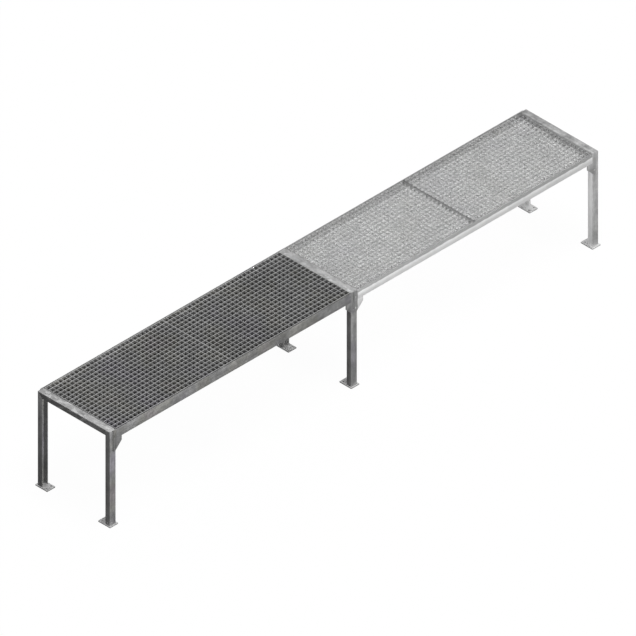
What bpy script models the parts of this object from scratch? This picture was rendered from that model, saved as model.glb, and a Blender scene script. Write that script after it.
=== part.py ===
"""Two-bay galvanised-steel work platform bench.

Three portal frames of mitred channel stand on base plates with anchor holes. Angle side beams run
between the frames on both long sides, and meet gusset plates that are screwed to the legs. Cross
bearers sit on the toes of the side beams and carry two lift-out grating panels in each bay.

Axes: +X along the bench, +Y across it, +Z up. The origin is on the floor, under the middle of the
deck. "Near" is the -Y side and "far" the +Y side; "left" is -X and "right" is +X.
"""

import math
from contextlib import contextmanager

import bmesh
import bpy
from mathutils import Matrix, Vector

# ---------------------------------------------------------------- dimensions, metres
GAP = 0.0003  # clearance between neighbouring pieces

DECK_HEIGHT = 0.700  # floor to the top of the grating panels
PORTAL_HEIGHT = 0.6965  # floor to the top of the portal frames
BAY_PITCH = 2.058  # from one portal frame's centreline to the next
FRAME_WIDTH = 0.615  # over the outer faces of the legs' webs
HALF_WIDTH = FRAME_WIDTH / 2

CHANNEL_WEB = 0.050  # channel of the legs and the portal's top beam
CHANNEL_FLANGE = 0.038
CHANNEL_T = 0.005
CHANNEL_R_OUT = 0.0015
CHANNEL_R_IN = 0.0025
CHANNEL_R_TIP = 0.0012
MITRE_DROP = GAP * math.sqrt(0.5)  # sets each 45 degree mitre face back by half a gap

FOOT_LENGTH_X = 0.070  # base plate
FOOT_LENGTH_Y = 0.103
FOOT_T = 0.006
FOOT_OUTREACH = 0.012  # how far it stands out past the leg's web
FOOT_CORNER_R = 0.003
FOOT_HOLE_R = 0.0055
FOOT_HOLE_SPACING = 0.041
FOOT_HOLE_INSET = 0.0695  # from the leg's outer face to the hole centres

ANGLE_HEIGHT = 0.065  # side beam, unequal angle
ANGLE_TOE = 0.030
ANGLE_T = 0.005
ANGLE_R_ROOT = 0.006
ANGLE_R_TOE = 0.002
ANGLE_RISE = 0.001  # top edge above the portal's top
ANGLE_BOTTOM = PORTAL_HEIGHT + ANGLE_RISE - ANGLE_HEIGHT
ANGLE_END_CLEAR = 0.0035  # from the leg's edge to the beam's end
ANGLE_START = CHANNEL_WEB / 2 + ANGLE_END_CLEAR  # from the frame's centreline to the beam's end

GUSSET_T = 0.0047
GUSSET_REACH = 0.0475  # how far it stands past the leg's edge
GUSSET_KNEE = 0.0968  # depth below the portal's top where the slope begins
GUSSET_FOOT = 0.1508  # depth below the portal's top of the lower edge
GUSSET_KNEE_R = 0.010
GUSSET_CORNER_R = 0.002

SCREW_R = 0.004  # countersunk screw, 8 mm shank
SCREW_HEAD_R = 0.0075
SCREW_HEAD_DEPTH = SCREW_HEAD_R - SCREW_R  # the head's cone slopes at 45 degrees
SCREW_DEPTHS = (0.045, 0.122)  # below the portal's top
SCREW_OFFSET = 0.010  # from the frame's centreline
SCREW_LENGTH = 0.019
NUT_FLATS = 0.013
NUT_T = 0.0065

BEARER_WIDTH = 0.040  # inverted channel under the panel ends
BEARER_T = 0.003
BEARER_END_CLEAR = 0.0065  # clears the side beams' root radius
BEARER_FROM_FRAME = 0.0265  # frame centreline to the nearer side of an end bearer
BEARER_R = 0.003

GRATING_DEPTH = 0.030
GRATING_BAR_T = 0.003
GRATING_PITCH = 0.2 / 3  # of the plain mesh: every second bar of a 33.3 mm mesh
GRATING_CELLS_X = 15
GRATING_CELLS_Y = 9
GRATING_BETWEEN = 0.0006  # between the two panels of a bay
GRATING_LENGTH = GRATING_CELLS_X * GRATING_PITCH + (GRATING_BAR_T - GRATING_BETWEEN) / 2
GRATING_WIDTH = GRATING_CELLS_Y * GRATING_PITCH + GRATING_BAR_T
# From a frame's centreline to the edge of the first panel beside it.
GRATING_START = (BAY_PITCH - GRATING_BETWEEN) / 2 - GRATING_LENGTH

# Cutting tools
MITRE_BLOCK = 0.2  # edge of the cube that cuts the mitres
DRILL_LENGTH = 0.03
DRILL_LEAD = 0.01  # how far a drill starts before the face it enters
SINK_LEAD = 0.001  # the same for a countersink

# Mesh resolution and clean-up
ROUND_STEPS = 12
SMOOTH_ANGLE = math.radians(35.0)
PLATE_WELD = 0.00001  # vertices closer than this are merged
BAKED_WELD = 0.000005

# Names and places. The last two columns of FRAMES are the keys of the near and far leg meshes.
FRAMES = (
    ("left", -BAY_PITCH, "plus", "minus"),
    ("middle", 0.0, "both", "both"),
    ("right", BAY_PITCH, "minus", "plus"),
)
BAYS = (("first", -BAY_PITCH), ("second", 0.0))  # name, x of the frame at the left end

# ---------------------------------------------------------------- clear the file
for old in list(bpy.data.objects):
    bpy.data.objects.remove(old, do_unlink=True)
for old in list(bpy.data.collections):
    bpy.data.collections.remove(old)

scene_objects = bpy.context.scene.collection
bench = bpy.data.collections.new("work_platform_bench")
cutters = bpy.data.collections.new("cutters")
scene_objects.children.link(bench)
scene_objects.children.link(cutters)


# ---------------------------------------------------------------- transforms
def shift(x=0.0, y=0.0, z=0.0):
    return Matrix.Translation((x, y, z))


def turn_x(degrees):
    return Matrix.Rotation(math.radians(degrees), 4, "X")


Z_TO_Y = turn_x(-90)  # lays +Z along +Y and turns +Y down
Y_TO_Z = turn_x(90)  # stands +Y up along +Z and lays +Z along -Y
Z_TO_X = Matrix(((0, 0, 1, 0), (1, 0, 0, 0), (0, 1, 0, 0), (0, 0, 0, 1)))  # X to Y, Y to Z


# ---------------------------------------------------------------- mesh helpers
@contextmanager
def editing(mesh):
    """Give a bmesh of the mesh to work on, and write it back afterwards."""
    edit = bmesh.new()
    edit.from_mesh(mesh)
    yield edit
    edit.to_mesh(mesh)
    edit.free()


def evaluated_mesh(name, data, add_modifiers=None):
    """Plain mesh of a curve or mesh, after any modifiers, by way of a temporary object."""
    holder = bpy.data.objects.new(name + "_stock", data)
    scene_objects.objects.link(holder)
    if add_modifiers is not None:
        add_modifiers(holder)
    bpy.context.view_layer.update()
    depsgraph = bpy.context.evaluated_depsgraph_get()
    mesh = bpy.data.meshes.new_from_object(holder.evaluated_get(depsgraph))
    mesh.name = name
    bpy.data.objects.remove(holder, do_unlink=True)
    return mesh


def baked(name, data, add_modifiers):
    """Mesh with its modifiers applied and tiny edges removed."""
    mesh = evaluated_mesh(name, data, add_modifiers)
    with editing(mesh) as edit:
        bmesh.ops.remove_doubles(edit, verts=edit.verts, dist=BAKED_WELD)
        bmesh.ops.dissolve_degenerate(edit, dist=BAKED_WELD, edges=edit.edges)
    return mesh


def combined(name, mesh, tools, operation="DIFFERENCE"):
    """A mesh with a list of tool objects taken away, or joined on."""

    def add_booleans(holder):
        for tool in tools:
            modifier = holder.modifiers.new(operation.lower(), "BOOLEAN")
            modifier.operation = operation
            modifier.solver = "EXACT"
            modifier.object = tool

    return baked(name, mesh, add_booleans)


def smooth(mesh):
    """Shade smooth, with the steeper edges kept sharp."""
    mesh.shade_smooth()
    mesh.set_sharp_from_angle(angle=SMOOTH_ANGLE)
    return mesh


def rounded(corners):
    """Polyline through corners: (x, y) stays sharp, (x, y, radius, steps) becomes an arc."""
    points = []
    for index, (x, y, *rounding) in enumerate(corners):
        corner = Vector((x, y))
        if not rounding:
            points.append(corner)
            continue
        radius, steps = rounding
        before = Vector(corners[index - 1][:2]) - corner
        after = Vector(corners[(index + 1) % len(corners)][:2]) - corner
        before.normalize()
        after.normalize()
        half_angle = before.angle(after) / 2
        tangent = radius / math.tan(half_angle)  # from the corner to each end of the arc
        centre = corner + (before + after).normalized() * (radius / math.sin(half_angle))
        start = corner + before * tangent - centre
        end = corner + after * tangent - centre
        sweep = math.atan2(start.x * end.y - start.y * end.x, start.dot(end))
        for step in range(steps + 1):
            angle = sweep * step / steps
            cos, sin = math.cos(angle), math.sin(angle)
            spoke = Vector((start.x * cos - start.y * sin, start.x * sin + start.y * cos))
            points.append(centre + spoke)
    return points


def rectangle(x0, y0, x1, y1):
    return [(x0, y0), (x1, y0), (x1, y1), (x0, y1)]


def plate_mesh(name, loops, thickness):
    """Flat outline in XY, with any holes, extruded along Z by half the thickness each way."""
    curve = bpy.data.curves.new(name + "_outline", "CURVE")
    curve.dimensions = "2D"
    curve.fill_mode = "BOTH"
    curve.extrude = thickness / 2
    for loop in loops:
        spline = curve.splines.new("POLY")
        spline.points.add(len(loop) - 1)
        for point, (x, y) in zip(spline.points, loop):
            point.co = (x, y, 0.0, 1.0)
        spline.use_cyclic_u = True
    mesh = evaluated_mesh(name, curve)
    bpy.data.curves.remove(curve)
    with editing(mesh) as edit:
        bmesh.ops.remove_doubles(edit, verts=edit.verts, dist=PLATE_WELD)
        bmesh.ops.recalc_face_normals(edit, faces=edit.faces)
    return mesh


def rod_mesh(name, radius, length, steps=ROUND_STEPS, radius_end=None):
    """Round bar, or a frustum, about Z, from z=0 to z=length."""
    mesh = bpy.data.meshes.new(name)
    with editing(mesh) as edit:
        bmesh.ops.create_cone(
            edit,
            cap_ends=True,
            segments=steps,
            radius1=radius,
            radius2=radius if radius_end is None else radius_end,
            depth=length,
            matrix=shift(z=length / 2),
        )
    return mesh


# ---------------------------------------------------------------- cutting tools
def cutter(name, mesh, matrix):
    """A hidden tool object for the booleans."""
    tool = bpy.data.objects.new(name, mesh)
    tool.matrix_world = matrix
    tool.hide_render = True
    tool.display_type = "WIRE"
    cutters.objects.link(tool)
    return tool


def mitre_cutter(name, y, z, degrees):
    """Cube standing on a mitre plane through (y, z), tilted about X."""
    mesh = bpy.data.meshes.new(name)
    with editing(mesh) as edit:
        bmesh.ops.create_cube(edit, size=MITRE_BLOCK)
    return cutter(name, mesh, shift(y=y, z=z) @ turn_x(degrees) @ shift(z=MITRE_BLOCK / 2))


def screw_axis(side, depth, face_y):
    """Frame of a screw that enters at face_y and points to +Y."""
    return shift(side * SCREW_OFFSET, face_y, PORTAL_HEIGHT - depth) @ Z_TO_Y


def screw_drill(name, side, depth, face_y):
    drill = rod_mesh("screw_hole", SCREW_R + GAP, DRILL_LENGTH)
    return cutter(name, drill, screw_axis(side, depth, face_y) @ shift(z=-DRILL_LEAD))


# ---------------------------------------------------------------- materials
def metal(name, rgb, roughness):
    """A fully metallic Principled material of one colour."""
    finish = bpy.data.materials.new(name)
    finish.use_nodes = True
    shader = finish.node_tree.nodes["Principled BSDF"]
    shader.inputs["Base Color"].default_value = (*rgb, 1.0)
    shader.inputs["Roughness"].default_value = roughness
    shader.inputs["Metallic"].default_value = 1.0
    finish.diffuse_color = (*rgb, 1.0)
    return finish


# One for each kind of piece: name, linear red, green and blue, roughness.
METALS = (
    ("zinc_leg", (0.26, 0.26, 0.26), 0.48),
    ("zinc_beam", (0.50, 0.50, 0.49), 0.45),
    ("zinc_foot", (0.60, 0.60, 0.60), 0.42),
    ("zinc_angle", (0.29, 0.29, 0.30), 0.47),
    ("zinc_gusset", (0.27, 0.27, 0.27), 0.50),
    ("zinc_bearer", (0.35, 0.35, 0.35), 0.50),
    ("zinc_grating", (0.22, 0.22, 0.21), 0.50),
    ("zinc_screw", (0.45, 0.45, 0.45), 0.35),
    ("bright_leg", (0.55, 0.55, 0.56), 0.40),
    ("bright_beam", (0.62, 0.62, 0.61), 0.40),
    ("bright_foot", (0.66, 0.66, 0.66), 0.40),
    ("bright_angle", (0.62, 0.62, 0.63), 0.40),
    ("bright_gusset", (0.60, 0.60, 0.61), 0.40),
    ("bright_grating", (0.52, 0.52, 0.52), 0.45),
)
metals = {name: metal(name, rgb=rgb, roughness=roughness) for name, rgb, roughness in METALS}


# ---------------------------------------------------------------- legs and top beam
def channel_outline():
    """Channel: x across the web, y from the web's outer face towards the flanges' tips."""
    outer = CHANNEL_WEB / 2
    inner = outer - CHANNEL_T
    return rounded(
        [
            (-outer, 0.0, CHANNEL_R_OUT, 3),
            (outer, 0.0, CHANNEL_R_OUT, 3),
            (outer, CHANNEL_FLANGE, CHANNEL_R_TIP, 1),
            (inner, CHANNEL_FLANGE, CHANNEL_R_TIP, 1),
            (inner, CHANNEL_T, CHANNEL_R_IN, 2),
            (-inner, CHANNEL_T, CHANNEL_R_IN, 2),
            (-inner, CHANNEL_FLANGE, CHANNEL_R_TIP, 1),
            (-outer, CHANNEL_FLANGE, CHANNEL_R_TIP, 1),
        ]
    )


def leg_meshes():
    """Near-side legs, keyed by the sides of X on which they are drilled for gussets.

    The web is at y=0 facing -Y and the flanges point to +Y. The top is mitred: the web reaches
    the portal's top and the flanges' tips end one flange depth lower.
    """
    bottom = FOOT_T + GAP
    length = PORTAL_HEIGHT - bottom
    stock = plate_mesh("leg_stock", [channel_outline()], length)
    stock.transform(shift(z=bottom + length / 2))
    mitre = mitre_cutter("leg_mitre", y=0.0, z=PORTAL_HEIGHT - MITRE_DROP, degrees=-45)

    meshes = {}
    for key, sides in (("plus", (1,)), ("minus", (-1,)), ("both", (-1, 1))):
        name = f"leg_{key}"
        drills = [
            screw_drill(f"{name}_hole_{side}_{level}", side, depth, face_y=0.0)
            for side in sides
            for level, depth in enumerate(SCREW_DEPTHS)
        ]
        meshes[key] = smooth(combined(name, stock, [mitre, *drills]))
    return meshes


def top_beam_mesh():
    """Channel along Y, web up and flanges down, both ends mitred to meet the legs."""
    stock = plate_mesh("beam_stock", [channel_outline()], FRAME_WIDTH)
    stock.transform(shift(z=PORTAL_HEIGHT) @ Z_TO_Y)
    mitres = [
        mitre_cutter(
            f"beam_mitre_{side}",
            y=side * (HALF_WIDTH - MITRE_DROP),
            z=PORTAL_HEIGHT,
            degrees=side * -135,
        )
        for side in (-1, 1)
    ]
    return smooth(combined("top_beam", stock, mitres))


# ---------------------------------------------------------------- base plates
def foot_plate_mesh():
    """Base plate of a near-side leg; y is measured inwards from the leg's outer face."""
    half_x = FOOT_LENGTH_X / 2
    corners = rectangle(-half_x, -FOOT_OUTREACH, half_x, FOOT_LENGTH_Y - FOOT_OUTREACH)
    outline = rounded([(x, y, FOOT_CORNER_R, 2) for x, y in corners])
    stock = plate_mesh("foot_stock", [outline], FOOT_T)
    stock.transform(shift(z=FOOT_T / 2))
    drill = rod_mesh("anchor_hole", FOOT_HOLE_R, DRILL_LENGTH)
    drills = [
        cutter(
            f"anchor_hole_{side}",
            drill,
            shift(side * FOOT_HOLE_SPACING / 2, FOOT_HOLE_INSET, -DRILL_LEAD),
        )
        for side in (-1, 1)
    ]
    return smooth(combined("foot_plate", stock, drills))


# ---------------------------------------------------------------- side beams
def side_beam_mesh():
    """Near-side angle along X: tall leg outside the frames, toe at the bottom pointing in."""
    # x inwards from the outer face, y up from the underside
    section = rounded(
        [
            (0.0, 0.0),
            (ANGLE_TOE, 0.0),
            (ANGLE_TOE, ANGLE_T, ANGLE_R_TOE, 2),
            (ANGLE_T, ANGLE_T, ANGLE_R_ROOT, 3),
            (ANGLE_T, ANGLE_HEIGHT, ANGLE_R_TOE, 2),
            (0.0, ANGLE_HEIGHT),
        ]
    )
    mesh = plate_mesh("side_beam", [section], BAY_PITCH - 2 * ANGLE_START)
    mesh.transform(shift(y=-ANGLE_T, z=ANGLE_BOTTOM) @ Z_TO_X)
    return smooth(mesh)


# ---------------------------------------------------------------- gusset plates
def gusset_mesh(name, side):
    """Near-side gusset just outside the leg's web, reaching to the given side of X."""
    reach = CHANNEL_WEB / 2 + GUSSET_REACH
    slope_run = GUSSET_FOOT - GUSSET_KNEE  # the slope is at 45 degrees
    under_beam = ANGLE_HEIGHT - ANGLE_RISE + GAP
    # x from the frame's centreline towards the bay, y up from the portal's top
    outline = rounded(
        [
            (side * GAP / 2, ANGLE_RISE),
            (side * (ANGLE_START - GAP), ANGLE_RISE),
            (side * (ANGLE_START - GAP), -under_beam),
            (side * reach, -under_beam),
            (side * reach, -GUSSET_KNEE, GUSSET_KNEE_R, 4),
            (side * (reach - slope_run), -GUSSET_FOOT, GUSSET_CORNER_R, 2),
            (side * GAP / 2, -GUSSET_FOOT),
        ]
    )
    stock = plate_mesh(name + "_stock", [outline], GUSSET_T)
    # The outer face lies flush with the side beam's outer face.
    stock.transform(shift(y=-ANGLE_T + GUSSET_T / 2, z=PORTAL_HEIGHT) @ Y_TO_Z)
    tools = []
    for level, depth in enumerate(SCREW_DEPTHS):
        tools.append(screw_drill(f"{name}_hole_{level}", side, depth, face_y=-ANGLE_T))
        sink = rod_mesh(
            f"{name}_sink_{level}",
            SCREW_HEAD_R + GAP + SINK_LEAD,
            SCREW_HEAD_DEPTH + SINK_LEAD,
            radius_end=SCREW_R + GAP,
        )
        place = screw_axis(side, depth, -ANGLE_T) @ shift(z=-SINK_LEAD)
        tools.append(cutter(f"{name}_sink_{level}", sink, place))
    return smooth(combined(name, stock, tools))


# ---------------------------------------------------------------- screws with their nuts
def screw_body_mesh():
    """Turned head and shank about Z, head face at z=0, pointing to +Z."""
    # radius, z
    profile = [
        (0.0, 0.0),
        (SCREW_HEAD_R, 0.0),
        (SCREW_R, SCREW_HEAD_DEPTH),
        (SCREW_R, SCREW_LENGTH),
        (0.0, SCREW_LENGTH),
    ]
    line = bpy.data.meshes.new("screw_profile")
    points = [(radius, 0.0, z) for radius, z in profile]
    line.from_pydata(points, [(i, i + 1) for i in range(len(profile) - 1)], [])

    def add_turning(holder):
        turning = holder.modifiers.new("turn", "SCREW")
        turning.axis = "Z"
        turning.steps = ROUND_STEPS
        turning.render_steps = ROUND_STEPS
        turning.use_merge_vertices = True
        turning.merge_threshold = 0.00001
        turning.use_normal_calculate = True

    mesh = baked("screw_body", line, add_turning)
    with editing(mesh) as edit:
        bmesh.ops.recalc_face_normals(edit, faces=edit.faces)
    return mesh


def screw_set_mesh():
    """Screw pointing to +Y with its tightened nut, joined as one solid."""
    nut = cutter(
        "nut",
        rod_mesh("nut", NUT_FLATS / math.sqrt(3), NUT_T, steps=6),
        shift(z=ANGLE_T + CHANNEL_T + GAP),
    )
    mesh = combined("screw_set", screw_body_mesh(), [nut], "UNION")
    mesh.transform(Z_TO_Y)
    return smooth(mesh)


# ---------------------------------------------------------------- cross bearers
def bearer_mesh():
    """Inverted channel along Y: web up under the panels, lips over the side beams' toes."""
    bottom = ANGLE_BOTTOM + ANGLE_T + GAP
    height = DECK_HEIGHT - GRATING_DEPTH - GAP - bottom
    outer = BEARER_WIDTH / 2
    inner = outer - BEARER_T
    section = rounded(
        [
            (-outer, 0.0),
            (-inner, 0.0),
            (-inner, height - BEARER_T),
            (inner, height - BEARER_T),
            (inner, 0.0),
            (outer, 0.0),
            (outer, height, BEARER_R, 2),
            (-outer, height, BEARER_R, 2),
        ]
    )
    mesh = plate_mesh("bearer", [section], FRAME_WIDTH - 2 * BEARER_END_CLEAR)
    mesh.transform(shift(z=bottom) @ Y_TO_Z)
    return smooth(mesh)


# ---------------------------------------------------------------- grating panels
def grating_mesh():
    """Panel from its outer end at x=0 to the joint with its neighbour.

    The pitch carries on across the joint, where two bars meet, so the last cell is shorter.
    """
    near_edge = -GRATING_WIDTH / 2
    loops = [rectangle(0.0, near_edge, GRATING_LENGTH, GRATING_WIDTH / 2)]
    for i in range(GRATING_CELLS_X):
        for j in range(GRATING_CELLS_Y):
            loops.append(
                rectangle(
                    i * GRATING_PITCH + GRATING_BAR_T,
                    near_edge + j * GRATING_PITCH + GRATING_BAR_T,
                    min((i + 1) * GRATING_PITCH, GRATING_LENGTH - GRATING_BAR_T),
                    near_edge + (j + 1) * GRATING_PITCH,
                )
            )
    mesh = plate_mesh("grating", loops, GRATING_DEPTH)
    mesh.transform(shift(z=DECK_HEIGHT - GRATING_DEPTH / 2))
    return mesh


# ---------------------------------------------------------------- build the meshes
legs = leg_meshes()
top_beam = top_beam_mesh()
foot_plate = foot_plate_mesh()
side_beam = side_beam_mesh()
gussets = {1: gusset_mesh("gusset_plus", 1), -1: gusset_mesh("gusset_minus", -1)}
screw_set = screw_set_mesh()
bearer = bearer_mesh()
grating = grating_mesh()

# ---------------------------------------------------------------- place every piece
frame_root = bpy.data.objects.new("frame_root", None)
frame_root.empty_display_type = "PLAIN_AXES"
frame_root.empty_display_size = 0.1
bench.objects.link(frame_root)

# Near-side pieces serve the far side after a half turn: row, outward direction in Y, turn about Z.
ROWS = (("near", -1, 0.0), ("far", 1, math.pi))


def part(name, mesh, metal_name, location, turn=0.0, parent=frame_root):
    """One named piece of the bench, turned about Z and placed."""
    piece = bpy.data.objects.new(name, mesh)
    piece.location = location
    piece.rotation_euler = (0.0, 0.0, turn)
    bench.objects.link(piece)
    if not mesh.materials:
        mesh.materials.append(None)
    # Pieces share meshes, so the material belongs to the object.
    piece.material_slots[0].link = "OBJECT"
    piece.material_slots[0].material = metals[metal_name]
    piece.parent = parent


def place_frame(frame, x, near_leg, far_leg):
    """Two legs on base plates and the top beam between them."""
    finish = "bright" if frame == "right" else "zinc"
    for (row, outward, turn), leg in zip(ROWS, (near_leg, far_leg)):
        place = (x, outward * HALF_WIDTH, 0.0)
        part(f"{frame}_{row}_leg", legs[leg], f"{finish}_leg", place, turn)
        part(f"{frame}_{row}_base_plate", foot_plate, f"{finish}_foot", place, turn)
    beam_metal = "zinc_beam" if frame == "left" else "bright_beam"
    part(f"{frame}_top_beam", top_beam, beam_metal, (x, 0.0, 0.0))


def place_gusset(bay, finish, end, frame_x, side, row, outward, turn):
    """A gusset and its two screws, on the given side of a frame."""
    y = outward * HALF_WIDTH
    name = f"{bay}_bay_{row}_{end}"
    # A half turn swaps which way the plate's slope points.
    mesh = gussets[-side * outward]
    part(f"{name}_gusset", mesh, f"{finish}_gusset", (frame_x, y, 0.0), turn)
    for level, depth in zip(("upper", "lower"), SCREW_DEPTHS):
        place = (
            frame_x + side * SCREW_OFFSET,
            y + outward * ANGLE_T,
            PORTAL_HEIGHT - depth,
        )
        part(f"{name}_{level}_screw", screw_set, "zinc_screw", place, turn)


def place_bay(bay, left_x):
    """Side beams, gussets, bearers and grating panels between two frames."""
    finish = "zinc" if bay == "first" else "bright"
    right_x = left_x + BAY_PITCH
    middle_x = left_x + BAY_PITCH / 2

    for row, outward, turn in ROWS:
        beam_place = (middle_x, outward * HALF_WIDTH, 0.0)
        part(f"{bay}_bay_{row}_side_beam", side_beam, f"{finish}_angle", beam_place, turn)
        for end, frame_x, side in (("left", left_x, 1), ("right", right_x, -1)):
            place_gusset(bay, finish, end, frame_x, side, row, outward, turn)

    bearer_inset = BEARER_FROM_FRAME + BEARER_WIDTH / 2
    for place, x in (
        ("left", left_x + bearer_inset),
        ("centre", middle_x),
        ("right", right_x - bearer_inset),
    ):
        part(f"{bay}_bay_{place}_bearer", bearer, "zinc_bearer", (x, 0.0, 0.0))

    # Each panel lifts straight up from its own origin, below its outer end's middle.
    for place, x, turn in (
        ("left", left_x + GRATING_START, 0.0),
        ("right", right_x - GRATING_START, math.pi),
    ):
        name = f"{bay}_bay_{place}_grating"
        part(name, grating, f"{finish}_grating", (x, 0.0, 0.0), turn, parent=None)


for frame_row in FRAMES:
    place_frame(*frame_row)
for bay_row in BAYS:
    place_bay(*bay_row)

for tool in cutters.objects:
    tool.hide_set(True)
bpy.context.view_layer.update()
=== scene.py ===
"""Looks for the work platform bench: refined steelwork, full-mesh gratings, weld beads and galvanised finishes
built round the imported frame, with a plain pale floor and soft studio light."""

import math

import bmesh
import bpy
from mathutils import Matrix, Vector, noise


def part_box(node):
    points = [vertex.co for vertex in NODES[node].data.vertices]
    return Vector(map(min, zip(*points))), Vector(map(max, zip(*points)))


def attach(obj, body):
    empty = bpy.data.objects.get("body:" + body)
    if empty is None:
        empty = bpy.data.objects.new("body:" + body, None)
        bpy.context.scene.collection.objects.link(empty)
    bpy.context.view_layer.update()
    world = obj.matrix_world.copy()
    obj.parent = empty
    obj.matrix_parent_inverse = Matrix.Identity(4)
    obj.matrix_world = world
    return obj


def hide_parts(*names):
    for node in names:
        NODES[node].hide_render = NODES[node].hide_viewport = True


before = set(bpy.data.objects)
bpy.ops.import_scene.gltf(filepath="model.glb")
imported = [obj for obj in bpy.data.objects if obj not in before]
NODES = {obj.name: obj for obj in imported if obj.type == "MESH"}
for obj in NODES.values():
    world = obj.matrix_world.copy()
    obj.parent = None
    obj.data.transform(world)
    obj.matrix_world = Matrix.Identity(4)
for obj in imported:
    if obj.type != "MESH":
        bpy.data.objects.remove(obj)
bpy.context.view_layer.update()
ROOT = "frame"
made = []

# ------------------------------------------------------------------ small mesh helpers


def new_object(name, mesh):
    o = bpy.data.objects.new(name, mesh)
    bpy.context.scene.collection.objects.link(o)
    return o


def mesh_from(bm, name, recalc=True):
    if recalc:
        bmesh.ops.recalc_face_normals(bm, faces=bm.faces)
    mesh = bpy.data.meshes.new(name)
    bm.to_mesh(mesh)
    bm.free()
    return mesh


def soften(o, width, segments=2, angle=40.0, sharp=38.0):
    """Rounded sheared edges, then smooth shading with the real corners kept."""
    b = o.modifiers.new("edges", "BEVEL")
    b.width = width
    b.segments = segments
    b.limit_method = "ANGLE"
    b.angle_limit = math.radians(angle)
    b.miter_outer = "MITER_ARC"
    b.use_clamp_overlap = True
    apply_modifiers(o)
    o.data.shade_smooth()
    o.data.set_sharp_from_angle(angle=math.radians(sharp))
    return o


def apply_modifiers(o):
    bpy.context.view_layer.update()
    dg = bpy.context.evaluated_depsgraph_get()
    mesh = bpy.data.meshes.new_from_object(o.evaluated_get(dg), depsgraph=dg)
    mesh.name = o.name
    old = o.data
    o.modifiers.clear()
    o.data = mesh
    if old.users == 0:
        bpy.data.meshes.remove(old)


def rounded(corners):
    """Corner list [(x, y, radius, steps)] to a polyline with its corners rounded."""
    points = []
    n = len(corners)
    for i, (x, y, r, steps) in enumerate(corners):
        here = Vector((x, y))
        if r <= 0.0 or steps < 1:
            points.append(here)
            continue
        before = (Vector(corners[i - 1][:2]) - here).normalized()
        after = (Vector(corners[(i + 1) % n][:2]) - here).normalized()
        half = before.angle(after) / 2
        reach = r / math.tan(half)
        centre = here + (before + after).normalized() * (r / math.sin(half))
        a = here + before * reach - centre
        b = here + after * reach - centre
        sweep = math.atan2(a.x * b.y - a.y * b.x, a.dot(b))
        for k in range(steps + 1):
            t = sweep * k / steps
            points.append(
                centre
                + Vector(
                    (
                        a.x * math.cos(t) - a.y * math.sin(t),
                        a.x * math.sin(t) + a.y * math.cos(t),
                    )
                )
            )
    return points


def prism(name, ring_a, ring_b, cuts=0):
    """Closed solid between two matching rings of points, with extra rings along the way."""
    bm = bmesh.new()
    n = len(ring_a)
    rings = []
    for k in range(cuts + 2):
        t = k / (cuts + 1)
        rings.append([bm.verts.new(a.lerp(b, t)) for a, b in zip(ring_a, ring_b)])
    for lower, upper in zip(rings, rings[1:]):
        for i in range(n):
            j = (i + 1) % n
            bm.faces.new((lower[i], lower[j], upper[j], upper[i]))
    bm.faces.new(list(reversed(rings[0])))
    bm.faces.new(rings[-1])
    return new_object(name, mesh_from(bm, name))


def plate(name, loops, thickness, matrix, edge=0.0005, segments=2):
    """Flat outline with holes, given a thickness about its plane, edges rounded, then placed."""
    curve = bpy.data.curves.new(name + "_outline", "CURVE")
    curve.dimensions = "2D"
    curve.fill_mode = "BOTH"
    curve.extrude = thickness / 2
    for loop in loops:
        spline = curve.splines.new("POLY")
        spline.points.add(len(loop) - 1)
        for p, v in zip(spline.points, loop):
            p.co = (v[0], v[1], 0.0, 1.0)
        spline.use_cyclic_u = True
    holder = new_object(name + "_outline", curve)
    bpy.context.view_layer.update()
    mesh = bpy.data.meshes.new_from_object(
        holder.evaluated_get(bpy.context.evaluated_depsgraph_get())
    )
    bpy.data.objects.remove(holder, do_unlink=True)
    bpy.data.curves.remove(curve)
    bm = bmesh.new()
    bm.from_mesh(mesh)
    bmesh.ops.remove_doubles(bm, verts=bm.verts, dist=0.00001)
    bmesh.ops.dissolve_limit(
        bm, angle_limit=math.radians(1), verts=bm.verts, edges=bm.edges
    )
    bmesh.ops.recalc_face_normals(bm, faces=bm.faces)
    bm.to_mesh(mesh)
    bm.free()
    mesh.name = name
    o = new_object(name, mesh)
    if edge > 0:
        soften(o, edge, segments)
    o.data.transform(matrix)
    if matrix.determinant() < 0:
        o.data.flip_normals()
    return o


def circle(x, y, r, steps=32, phase=0.0):
    return [
        Vector(
            (
                x + r * math.cos(2 * math.pi * k / steps + phase),
                y + r * math.sin(2 * math.pi * k / steps + phase),
            )
        )
        for k in range(steps)
    ]


def loft(bm, rings):
    """Closed body through rings of equal point counts; first and last are capped."""
    vs = [[bm.verts.new(p) for p in ring] for ring in rings]
    n = len(vs[0])
    for a, b in zip(vs, vs[1:]):
        for i in range(n):
            j = (i + 1) % n
            bm.faces.new((a[i], a[j], b[j], b[i]))
    bm.faces.new(list(reversed(vs[0])))
    bm.faces.new(vs[-1])


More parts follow.
